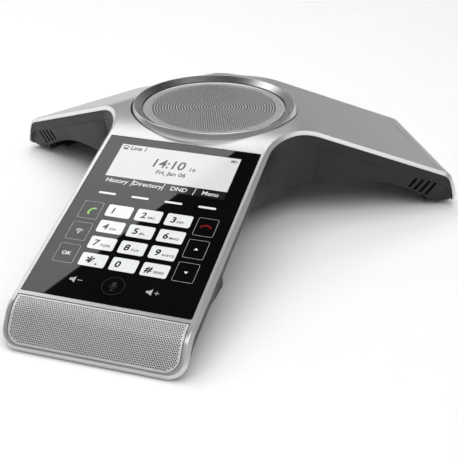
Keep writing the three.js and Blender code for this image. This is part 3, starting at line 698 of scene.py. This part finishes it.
# ---------------------------------------------------------------- base shell
def tub(top, wall, fine):
    """A closed body between the top shell's underside and the belly."""
    drop = top_place(SKIN + GAP)

    def end(arm):
        return arm.base_end + wall

    def floor(p):
        return belly(p[0], p[1]) + wall

    def band_low(p):
        return max(p[2] - BAND_TALL, floor(p) + 0.55 * (p[2] - floor(p)))

    def lowered(fn):
        def place(at):
            p = drop(at)
            return (p[0], p[1], fn(p))
        return place

    solid = Shape()
    rings = [
        (lambda arm: 0.7 + wall, top_place(top)),
        (lambda arm: 0.7 + wall, lowered(lambda p: band_low(p) + 0.25)),
        (lambda arm: 0.78 + wall, lowered(lambda p: band_low(p) + 0.05)),
        (lambda arm: 1.0 + wall, lowered(lambda p: band_low(p) - 0.1)),
        (lambda arm: 1.5 + wall, lowered(lambda p: band_low(p) - 0.4)),
        (lambda arm: 0.7 + wall + arm.undercut - 1.2, lowered(lambda p: floor(p) + 1.6)),
        (lambda arm: 0.7 + wall + arm.undercut - 0.5, lowered(lambda p: floor(p) + 0.35)),
        (lambda arm: 0.7 + wall + arm.undercut + 0.6, lowered(floor)),
    ]
    shapes = [outline(inset, end, fine) for inset, _ in rings]
    loops = [[place(n) for n in loop(shape)] for shape, (_, place) in zip(shapes, rings)]
    for upper, lower in zip(loops, loops[1:]):
        solid.band(upper, lower)
    cover(solid, shapes[0], rings[0][1], lambda x, y: hub_height(x, y) - top, 0, True)
    cover(solid, shapes[-1], rings[-1][1], lambda x, y: belly(x, y) + wall, 0, False)
    return solid


# Each microphone slot: distance from the hub's axis, height and length.
MIC_SLOTS = [(116.1, 18.4, 7.3), (120.1, 16.6, 8.4), (124.2, 14.9, 9.0), (128.2, 13.0, 9.8)]
SLOT_LEAN = 33 * DEG
USB = SimpleNamespace(z=34, wide=7.6, tall=2.7)
# A wide seat for a screw's head, then a narrow bore for its shank.
SCREW_BORE = [(0, -3), (2.8, -3), (2.8, 1.2), (1.5, 1.2), (1.5, 7), (0, 7)]


def base_shell():
    fine = SimpleNamespace(mid=8, bend=8, tail=5, corner=6, notch=28, columns=16, hub=16)
    rough = SimpleNamespace(mid=5, bend=3, tail=2, corner=3, notch=10, columns=8, hub=8)
    centre, deep = (BAY.near + BAY.far) / 2, BAY.far - BAY.near

    def bay_block():
        return plate(2 * BAY.half, deep, BAY.low, BAY.roof, 4, 1.2, 0, centre).object("cut")

    def bay_room():
        top, wide = BAY.roof - BAY.wall, 2 * (BAY.half - BAY.wall)
        return box(wide, deep - 2 * BAY.wall, top + 4, 0, centre, (top - 4) / 2).object("cut")

    def foot_seat(wide, long, y=0):
        return plate(wide + 2 * GAP, long + 2 * GAP, BELLY_LOW - 1, BELLY_LOW + 1, FOOT.corner, 0, 0, y)

    made = tub(SKIN + GAP, 0, fine).object("base_shell_fine")
    pads = [
        plate(PAD.wide, PAD.long, BELLY_LOW, BELLY_LOW + 5, 1, 0.4).object(
            "cut", on_arm(arm) @ Matrix.Translation((PAD.a, 0, 0)))
        for arm in (RIGHT, LEFT)
    ]
    carve(made, [bay_block(), *pads], "UNION")
    carve(made, [tub(1.2, WALL, rough).object("cut")])
    carve(made, [carve(bay_block(), [bay_room()])], "UNION")
    cutters = [bay_room()]
    for arm in (RIGHT, LEFT):
        seat = foot_seat(FOOT.wide, FOOT.side_long)
        cutters.append(seat.object("cut", on_arm(arm) @ Matrix.Translation((PAD.a, 0, 0))))
    cutters.append(foot_seat(FOOT.front_long, FOOT.wide, FRONT_FOOT_Y).object("cut"))
    for arm, side in ((RIGHT, -1), (LEFT, 1)):
        for a, z, long in MIC_SLOTS:
            place = on_arm(arm) @ Matrix.Translation((a, side * (arm.half - 2), z))
            cutters.append(box(1.9, 10, long).object("cut", place @ Matrix.Rotation(SLOT_LEAN, 4, "Y")))
    cutters.append(box(USB.wide + 2 * GAP, 16, USB.tall + 2 * GAP, 0, 60, USB.z).object("cut"))
    sides = (-CASE_SCREW_L, CASE_SCREW_L)
    spots = [Matrix.Translation((x, FRONT_FOOT_Y, BELLY_LOW)) for x in sides]
    for arm in (RIGHT, LEFT):
        spots += [on_arm(arm) @ Matrix.Translation((PAD.a, l, BELLY_LOW)) for l in sides]
    for spot in spots:
        cutters.append(revolve(SCREW_BORE, 20).object("cut", spot))
    carve(made, cutters)
    return shade(made, 32)


finish_piece(base_shell(), charcoal, "base_plastic", replaces=["base_shell"])


# ---------------------------------------------------------------- loudspeaker ring and grille
ROUND_SIDES = 240
CREST_ROUND = SimpleNamespace(at=48.45, r=0.65)


def speaker_ring():
    foot = [(47.6, 54), (RING_R, 54), (RING_R, 60)]
    crest = arc(CREST_ROUND.at, CREST - CREST_ROUND.r, CREST_ROUND.r, 25 * DEG, 130 * DEG, 8)
    inside = [(44.35, 61.3), (44.3, 59.3), (41.5, 59.3), (41.5, 57.4), (42.3, 54.9), (47.6, 54.9)]
    made = revolve(foot + crest + inside, ROUND_SIDES).object("speaker_ring_fine")
    return shade(made, 40)


finish_piece(speaker_ring(), ring_metal, "ring_metal", replaces=["speaker_ring"])


def perforated(outer, holes, place_top, place_low):
    """A plate with real holes: outer and each hole are loops of 2D points, all anticlockwise.

    A hole is (loop, floor). floor is None for a hole that goes through, or a function that places
    the floor of a dimple.
    """
    points, edges, owner = [], [], []
    loops = [outer] + [ring for ring, _ in holes]
    for number, ring in enumerate(loops):
        base = len(points)
        points += [Vector(p) for p in ring]
        edges += [(base + i, base + (i + 1) % len(ring)) for i in range(len(ring))]
        owner += [number] * len(ring)
    flat, _, triangles, came_from, _, _ = delaunay_2d_cdt(points, edges, [], 2, 1e-7)
    belongs = [owner[ids[0]] if ids else -1 for ids in came_from]
    solid = Shape()
    top, low = [place_top(*p) for p in flat], [place_low(*p) for p in flat]
    floors = {number + 1: floor for number, (_, floor) in enumerate(holes)}
    for tri in triangles:
        owners = {belongs[i] for i in tri}
        number = owners.pop()
        in_hole = not owners and number > 0
        if in_hole and floors[number] is None:
            continue
        placed = [floors[number](*flat[i]) for i in tri] if in_hole else [top[i] for i in tri]
        solid.face(*placed)
        solid.face(*[low[i] for i in reversed(tri)])
    for number, ring in enumerate(loops):
        upper = [place_top(*p) for p in ring]
        if number == 0:
            solid.band(upper, [place_low(*p) for p in ring])
            continue
        floor = floors[number] or place_low
        solid.band([floor(*p) for p in ring], upper)
    return solid


# Rings of holes. Those beyond through_r are dimples, which don't go through.
GRILLE = SimpleNamespace(
    rings=24, pitch=1.7, spacing=1.36, hole_r=0.6, through_r=38.8, dimple=0.3, thick=0.8, trim=0.2,
)
HOLE_SIDES = 8
CLOTH = SimpleNamespace(r=41.2, top=1.5, low=1.9)


def flat_at(z):
    return lambda x, y: (x, y, z)


def circle(cx, cy, r, sides):
    return arc(cx, cy, r, 0, 2 * math.pi, sides)[:-1]


def speaker_grille():
    holes = []
    for k in range(1, GRILLE.rings + 1):
        r = GRILLE.pitch * k
        count = round(2 * math.pi * r / GRILLE.spacing)
        floor = flat_at(GRILLE_TOP - GRILLE.dimple) if r > GRILLE.through_r else None
        for j in range(count):
            t = 2 * math.pi * (j + 0.5 * (k % 2)) / count
            holes.append((circle(r * math.cos(t), r * math.sin(t), GRILLE.hole_r, HOLE_SIDES), floor))
    rim = circle(0, 0, GRILLE_R - GRILLE.trim, ROUND_SIDES)
    solid = perforated(rim, holes, flat_at(GRILLE_TOP), flat_at(GRILLE_TOP - GRILLE.thick))
    return shade(solid.object("speaker_grille_fine"), 30)


finish_piece(speaker_grille(), grille_metal, "perforated_metal", replaces=["speaker_grille"])
speaker_cloth = cylinder(CLOTH.r, GRILLE_TOP - CLOTH.low, GRILLE_TOP - CLOTH.top, 96)
finish_piece(shade(speaker_cloth.object("speaker_cloth")), black_cloth, "foam")


# ---------------------------------------------------------------- front grille
MESH_PITCH = 1.2
MESH_HOLE_R = 0.44
MESH_MARGIN = 1.3
MESH_TRIM = 0.25
MESH_CLOTH_TRIM = 0.4


def mesh_reach(s):
    """Half the width that holds holes, at s along the arm."""
    into = s - (MESH.end - MESH.corner)
    if into <= 0:
        return MESH.half - MESH_MARGIN
    turn_r = MESH.corner - MESH_MARGIN
    return MESH.half - MESH.corner + math.sqrt(max(turn_r ** 2 - into ** 2, 0))


def front_grille():
    holes = []
    row_step = MESH_PITCH * math.sin(60 * DEG)
    rows = int((MESH.end - MESH.start - 2 * MESH_MARGIN) / row_step)
    for i in range(rows + 1):
        s = MESH.start + MESH_MARGIN + row_step * (i + 0.25)
        if s > MESH.end - MESH_MARGIN:
            continue
        reach = mesh_reach(s)
        count = int(2 * MESH.half / MESH_PITCH)
        for j in range(-count // 2, count // 2 + 2):
            l = MESH_PITCH * (j + 0.5 * (i % 2))
            if abs(l) < reach:
                holes.append((circle(s, l, MESH_HOLE_R, HOLE_SIDES), None))
    solid = perforated(
        bent_outline(*mesh_edge(-MESH_TRIM)), holes, lambda s, l: arm_point(FRONT, s, l, MESH.top),
        lambda s, l: arm_point(FRONT, s, l, MESH.top + MESH.thick),
    )
    return shade(solid.object("front_grille_fine"), 30)


finish_piece(front_grille(), mesh_metal, "perforated_metal", replaces=["front_grille"])
front_cloth = bent_block(FRONT, *mesh_edge(-MESH_CLOTH_TRIM), MESH.thick + 0.2, MESH.thick + 0.5)
finish_piece(front_cloth.object("front_grille_cloth"), black_cloth, "foam")


# ---------------------------------------------------------------- glass panel
def glass_panel():
    solid = plate(2 * GLASS.half, GLASS.long, -GLASS.thick, 0, 0.9, 0.18, 0, -GLASS.long / 2, 8)
    return shade(solid.object("glass_panel_fine", PANEL), 40)


finish_piece(glass_panel(), glass_black, "panel_glass", replaces=["glass_panel"])


# ---------------------------------------------------------------- prints on the glass
# Low and high of a print that lies on another print.
ON_TOP = (0.03, 0.045)


class Ink:
    """Flat printed shapes on the panel, from low to high above the glass, as one piece."""

    def __init__(self, name, material, slot, low=0.004, high=0.03):
        self.name, self.material, self.slot = name, material, slot
        self.low, self.high = low, high
        self.points, self.faces = [], []

    def add(self, points, faces):
        base = len(self.points)
        self.points += points
        self.faces += [[base + i for i in face] for face in faces]

    def solid(self, loop_points):
        """A filled outline of (u, v), listed either way round."""
        n = len(loop_points)
        points = [(u, -v, z) for z in (self.high, self.low) for u, v in loop_points]
        pairs = zip(points, points[1:n] + points[:1])
        area = sum(a[0] * b[1] - b[0] * a[1] for a, b in pairs)
        order = list(range(n)) if area > 0 else list(reversed(range(n)))
        faces = [order, [n + i for i in reversed(order)]]
        for i in range(n):
            a, b = order[i], order[(i + 1) % n]
            faces.append([n + a, n + b, b, a])
        self.add(points, faces)

    def ring(self, outer, inner):
        """The band between two outlines of equal length."""
        n = len(outer)
        points = []
        for z in (self.high, self.low):
            points += [(u, -v, z) for u, v in outer] + [(u, -v, z) for u, v in inner]
        faces = []
        for i in range(n):
            j = (i + 1) % n
            quads = [
                [i, n + i, n + j, j],
                [2 * n + i, 2 * n + j, 3 * n + j, 3 * n + i],
                [i, j, 2 * n + j, 2 * n + i],
                [n + i, 3 * n + i, 3 * n + j, n + j],
            ]
            faces += quads
        self.add(points, faces)

    def text(self, words, u, v, height, anchor="left", lean=0.0, weight=0.0, width=1.0, spacing=1.0):
        """Words with their capitals this tall, their baseline at v."""
        curve = bpy.data.curves.new("words", "FONT")
        curve.body = words
        curve.size = height / CAP_RATIO
        curve.extrude = (self.high - self.low) / 2
        curve.offset = weight
        curve.resolution_u = 4
        curve.shear = lean
        curve.space_character = spacing
        holder = bpy.data.objects.new("words", curve)
        bpy.context.scene.collection.objects.link(holder)
        depsgraph = bpy.context.evaluated_depsgraph_get()
        mesh = bpy.data.meshes.new_from_object(holder.evaluated_get(depsgraph))
        xs = [p.co.x for p in mesh.vertices]
        shift = {"left": -min(xs), "middle": -(min(xs) + max(xs)) / 2, "right": -max(xs)}[anchor]
        middle = (self.low + self.high) / 2
        points = [(u + (p.co.x + shift) * width, -v + p.co.y, p.co.z + middle) for p in mesh.vertices]
        self.add(points, [list(face.vertices) for face in mesh.polygons])
        bpy.data.objects.remove(holder)
        bpy.data.meshes.remove(mesh)
        bpy.data.curves.remove(curve)

    def finish(self):
        mesh = bpy.data.meshes.new(self.name)
        mesh.from_pydata(self.points, [], self.faces)
        mesh.transform(TO_FRAME @ PANEL)
        made = bpy.data.objects.new(self.name, mesh)
        bpy.context.scene.collection.objects.link(made)
        return finish_piece(made, self.material, self.slot)


# A capital's height as a share of the font's size.
CAP_RATIO = 0.729
# Places on the glass are (u, v): u to the right of its middle, v down from its top edge.
KEY_COLUMNS = (-16.8, 0, 16.8)
KEY_ROWS = (60.4, 72.6, 84.8, 97.0)
KEY = SimpleNamespace(wide=14.3, tall=9.0, corner=1.2)
SIDE_KEYS = (62.3, 78.6, 95.0)
SIDE_U = 32.5
LCD_HALF = 35.45
LCD_TOP, LCD_LOW, BAND_TOP = 6.4, 40.3, 34.0
SOFT_LABEL_STEP = 18.0
BOTTOM_V = 111.5


def field(left, right, top, low):
    return [(left, top), (right, top), (right, low), (left, low)]


def turned(points, angle, u, v):
    c, n = math.cos(angle), math.sin(angle)
    return [(u + x * c - y * n, v + x * n + y * c) for x, y in points]


def handset(size, angle, u, v):
    """A telephone handset seen from its side: a bow with a thick block at each end."""
    r = size * 0.62
    outer = arc(0, r * 0.95, r * 1.25, 215 * DEG, 325 * DEG, 14)
    inner = arc(0, r * 1.22, r * 1.12, 318 * DEG, 222 * DEG, 14)
    right_end = [(size * 0.66, size * 0.36), (size * 0.34, size * 0.40)]
    left_end = [(-size * 0.34, size * 0.40), (-size * 0.66, size * 0.36)]
    return turned(outer + right_end + inner + left_end, angle, u, v)


def keypad_prints():
    caps = Ink("key_caps", print_white, "light_plastic")
    digits = Ink("key_digits", print_dark, "panel_glass", *ON_TOP)
    letters = Ink("key_letters", print_dark, "panel_glass", *ON_TOP)
    names = [("1", ""), ("2", "ABC"), ("3", "DEF"), ("4", "GHI"), ("5", "JKL"), ("6", "MNO"),
             ("7", "PQRS"), ("8", "TUV"), ("9", "WXYZ"), ("*.", ""), ("0", ""), ("#", "SEND")]
    for i, (digit, small) in enumerate(names):
        u, v = KEY_COLUMNS[i % 3], KEY_ROWS[i // 3]
        caps.solid(rounded_rect(KEY.wide / 2, KEY.tall / 2, KEY.corner, 6, u, v))
        left = u - (2.2 if digit == "1" else 1.4) - (0 if small else 0.4)
        if digit == "*.":
            digits.text("*", u + 0.6, v + 5.0, 7.4, "right", 0.1, 0.2)
            digits.text(".", u + 1.6, v + 2.8, 4.6, "left", 0, 0.2)
            continue
        digits.text(digit, left, v + 2.0, 4.3, "right", 0.12, 0.17)
        if small:
            letters.text(small, left + 0.9, v + 2.0, 1.6, "left", 0.0, 0.05, 1.0, 1.08)
    for piece in (caps, digits, letters):
        piece.finish()


def side_key_prints():
    frames = Ink("side_key_frames", print_grey, "light_plastic")
    marks = Ink("side_key_marks", print_white, "light_plastic")
    for u in (-SIDE_U, SIDE_U):
        for v in SIDE_KEYS:
            frames.ring(
                rounded_rect(5.6, 6.6, 0.9, 5, u, v), rounded_rect(5.42, 6.42, 0.72, 5, u, v),
            )
    marks.text("OK", -SIDE_U, SIDE_KEYS[2] + 1.2, 2.5, "middle", 0, 0.07)
    for v, up in ((SIDE_KEYS[1], -1), (SIDE_KEYS[2], 1)):
        marks.solid([(SIDE_U - 1.1, v - 0.6 * up), (SIDE_U + 1.1, v - 0.6 * up), (SIDE_U, v + 1.0 * up)])
    for r in (1.0, 2.0, 3.0):
        bow = arc(-SIDE_U, SIDE_KEYS[1] + 1.5, r + 0.18, 225 * DEG, 315 * DEG, 10)
        bow += reversed(arc(-SIDE_U, SIDE_KEYS[1] + 1.5, r - 0.18, 225 * DEG, 315 * DEG, 10))
        marks.solid(bow)
    marks.solid(circle(-SIDE_U, SIDE_KEYS[1] + 1.5, 0.4, 12))
    answer = Ink("answer_mark", print_green, "light_plastic")
    answer.solid(handset(4.6, -58 * DEG, -SIDE_U, SIDE_KEYS[0]))
    hang_up = Ink("hang_up_mark", print_red, "light_plastic")
    hang_up.solid(handset(4.8, 0, SIDE_U, SIDE_KEYS[0] - 1.0))
    for piece in (frames, marks, answer, hang_up):
        piece.finish()


def bottom_prints():
    marks = Ink("volume_marks", print_grey, "light_plastic")
    v = BOTTOM_V
    for u, up in ((-20.5, False), (20.5, True)):
        cone = [(-3.1, -0.75), (-1.9, -0.75), (-0.1, -2.1), (-0.1, 2.1), (-1.9, 0.75), (-3.1, 0.75)]
        marks.solid([(u + x, v + y) for x, y in cone])
        marks.solid(rounded_rect(1.35, 0.16, 0.15, 3, u + 2.4, v))
        if up:
            marks.solid(rounded_rect(0.16, 1.35, 0.15, 3, u + 2.4, v))
    dim = Ink("mute_mark", print_dim, "panel_glass")
    dim.ring(circle(0, v, 5.95, 48), circle(0, v, 5.7, 48))
    dim.solid(rounded_rect(1.1, 1.9, 1.1, 6, 0, v - 0.9))
    dim.ring(
        arc(0, v - 0.3, 2.1, 0, math.pi, 12) + [(-1.9, v - 0.3), (1.9, v - 0.3)],
        arc(0, v - 0.3, 1.8, 0, math.pi, 12) + [(-1.85, v - 0.25), (1.85, v - 0.25)],
    )
    dim.solid(rounded_rect(0.2, 0.7, 0.15, 3, 0, v + 2.4))
    dim.solid(rounded_rect(1.2, 0.2, 0.15, 3, 0, v + 3.1))
    dashes = Ink("soft_key_dashes", print_white, "light_plastic")
    for u in (-28.6, -9.54, 9.54, 28.6):
        dashes.solid(rounded_rect(5.0, 0.75, 0.74, 6, u, 47.9))
    for piece in (marks, dim, dashes):
        piece.finish()


def display_prints():
    picture = Ink("display_picture", display_white, "screen")
    picture.solid(field(-LCD_HALF, LCD_HALF, LCD_TOP, BAND_TOP))
    segments = Ink("display_segments", display_dark, "screen", *ON_TOP)
    segments.text("14:10", -12.0, 21.9, 7.0, "left", 0.1, 0.16, 0.94)
    segments.text("16", 9.9, 21.9, 3.0, "left", 0.0, 0.08)
    segments.text("Fri, Jan 06", -8.4, 27.4, 3.2, "left", 0.1, 0.11)
    segments.text("Line 1", -29.4, 10.5, 3.3, "left", 0.05, 0.13, 0.9)
    segments.solid(handset(3.0, 0, -32.4, 7.9))
    segments.solid(rounded_rect(1.5, 0.75, 0.5, 3, -32.4, 10.0))
    segments.ring(rounded_rect(1.9, 1.0, 0.2, 2, 32.2, 9.2), rounded_rect(1.6, 0.7, 0.1, 2, 32.2, 9.2))
    segments.solid(rounded_rect(1.0, 0.45, 0.05, 2, 31.8, 9.2))
    band = Ink("soft_label_band", print_dark, "screen")
    band.solid(field(-LCD_HALF, LCD_HALF, BAND_TOP, LCD_LOW))
    words = Ink("soft_label_words", print_white, "screen", *ON_TOP)
    for i, word in enumerate(("History", "Directory", "DND", "Menu")):
        words.text(word, SOFT_LABEL_STEP * (i - 1.5), 38.7, 3.2, "middle", 0.05, 0.05, 0.98)
    for i in range(3):
        u = SOFT_LABEL_STEP * (i - 1)
        top, low = BAND_TOP + 0.4, LCD_LOW - 0.3
        words.solid([(u, top), (u + 0.4, top), (u - 0.2, low), (u - 0.6, low)])
    for piece in (picture, segments, band, words):
        piece.finish()


keypad_prints()
side_key_prints()
bottom_prints()
display_prints()


# ---------------------------------------------------------------- floor, light and camera
def floor_material():
    material, tree, shader = principled("pale floor", (0.86, 0.86, 0.86), 0.6)
    tint(tree, shader, noise(tree, 60, 3), (0.855, 0.855, 0.855), (0.87, 0.87, 0.87))
    return material


def sheet_object(name, corners, material):
    mesh = bpy.data.meshes.new(name)
    mesh.from_pydata(corners, [], [list(range(len(corners)))])
    mesh.materials.append(material)
    made = bpy.data.objects.new(name, mesh)
    bpy.context.scene.collection.objects.link(made)
    return made


def card(name, corners, brightness):
    """A glowing card that the camera doesn't see."""
    material = bpy.data.materials.new(name)
    material.use_nodes = True
    tree = material.node_tree
    tree.nodes.clear()
    glow = node(tree, "ShaderNodeEmission")
    glow.inputs["Color"].default_value = (1, 1, 1, 1)
    glow.inputs["Strength"].default_value = brightness
    out = node(tree, "ShaderNodeOutputMaterial")
    tree.links.new(glow.outputs["Emission"], out.inputs["Surface"])
    made = sheet_object(name, corners, material)
    made.visible_camera = False
    return made


FLOOR_HALF = 4.0
floor_corners = field(-FLOOR_HALF, FLOOR_HALF, -FLOOR_HALF, FLOOR_HALF)
sheet_object("floor", [(*p, 0) for p in floor_corners], floor_material())

# The room is lit near the horizon and dark overhead. Each stop is (a ray's z, the brightness there).
WALL_LIGHT = [(0.0, 0.35), (0.30, 0.32), (0.50, 0.20), (0.70, 0.0)]
world = bpy.data.worlds.new("studio")
world.use_nodes = True
sky = world.node_tree
direction = node(sky, "ShaderNodeTexCoord")
parts = node(sky, "ShaderNodeSeparateXYZ")
sky.links.new(direction.outputs["Generated"], parts.inputs["Vector"])
walls = node(sky, "ShaderNodeValToRGB")
walls.color_ramp.elements[0].position = WALL_LIGHT[0][0]
walls.color_ramp.elements[1].position = WALL_LIGHT[-1][0]
for height, _ in WALL_LIGHT[1:-1]:
    walls.color_ramp.elements.new(height)
for element, (_, level) in zip(walls.color_ramp.elements, WALL_LIGHT):
    element.color = (level, level, level, 1)
sky.links.new(parts.outputs["Z"], walls.inputs["Fac"])
sky.links.new(walls.outputs["Color"], sky.nodes["Background"].inputs["Color"])
bpy.context.scene.world = world


# Lights are in metres: three softboxes over the table, one low card to its left and a ceiling light.
SOFTBOX_Z = 1.2
EDGE_HEADING = 52.3 * DEG


def softbox(name, edge_point, edge_heading, before, after, reach, brightness):
    """A flat softbox: one long edge runs through a point, and the box spreads to that edge's left."""
    along_edge = Vector((math.cos(edge_heading), math.sin(edge_heading), 0))
    outward = Vector((-along_edge.y, along_edge.x, 0)) * reach
    start = Vector((*edge_point, SOFTBOX_Z)) - along_edge * before
    end = Vector((*edge_point, SOFTBOX_Z)) + along_edge * after
    return card(name, [start, start + outward, end + outward, end], brightness)


softbox(
    "left softbox", (-0.483, 0.516), EDGE_HEADING, before=1.5, after=1.05, reach=0.6, brightness=2.4,
)
softbox(
    "right softbox", (0.05, -0.10), EDGE_HEADING + math.pi,
    before=0.6, after=1.2, reach=1.7, brightness=2.0,
)
side_x, side_y = (1.2, 2.5), (-0.5, 0.7)
card("side softbox", [(*p, SOFTBOX_Z) for p in field(*side_x, *side_y)], brightness=1.7)
left_x, left_y, left_z = -1.5, (0.2, 1.1), (0.05, 0.6)
card("left card", [(left_x, *p) for p in field(*left_y, *left_z)], brightness=1.6)

ceiling_light = bpy.data.lights.new("ceiling", "AREA")
ceiling_light.shape = "SQUARE"
ceiling_light.size = 2.4
ceiling_light.energy = 50
ceiling = bpy.data.objects.new("ceiling", ceiling_light)
ceiling.location = (-0.3, -0.2, 2.4)
ceiling.visible_glossy = False
bpy.context.scene.collection.objects.link(ceiling)

CAMERA_AT = Vector((0.179034, HUB_Y * MM - 0.544104, 0.285094))
CAMERA_FORWARD = Vector((-0.26368, 0.83908, -0.47583)).normalized()
CAMERA_UP = Vector((-0.14617, 0.45283, 0.87953))
CAMERA_UP = (CAMERA_UP - CAMERA_FORWARD * CAMERA_UP.dot(CAMERA_FORWARD)).normalized()
camera_data = bpy.data.cameras.new("camera")
camera_data.lens = 78.35
camera_data.sensor_width = 36
camera_data.shift_x = 0.0062
camera_data.shift_y = 0.0022
camera_data.clip_start = 0.05
camera_data.clip_end = 50
camera = bpy.data.objects.new("camera", camera_data)
right = CAMERA_FORWARD.cross(CAMERA_UP)
turn = Matrix((right, CAMERA_UP, -CAMERA_FORWARD)).transposed().to_4x4()
camera.matrix_world = Matrix.Translation(CAMERA_AT) @ turn
bpy.context.scene.collection.objects.link(camera)
bpy.context.scene.camera = camera
bpy.context.scene.view_settings.view_transform = "Standard"
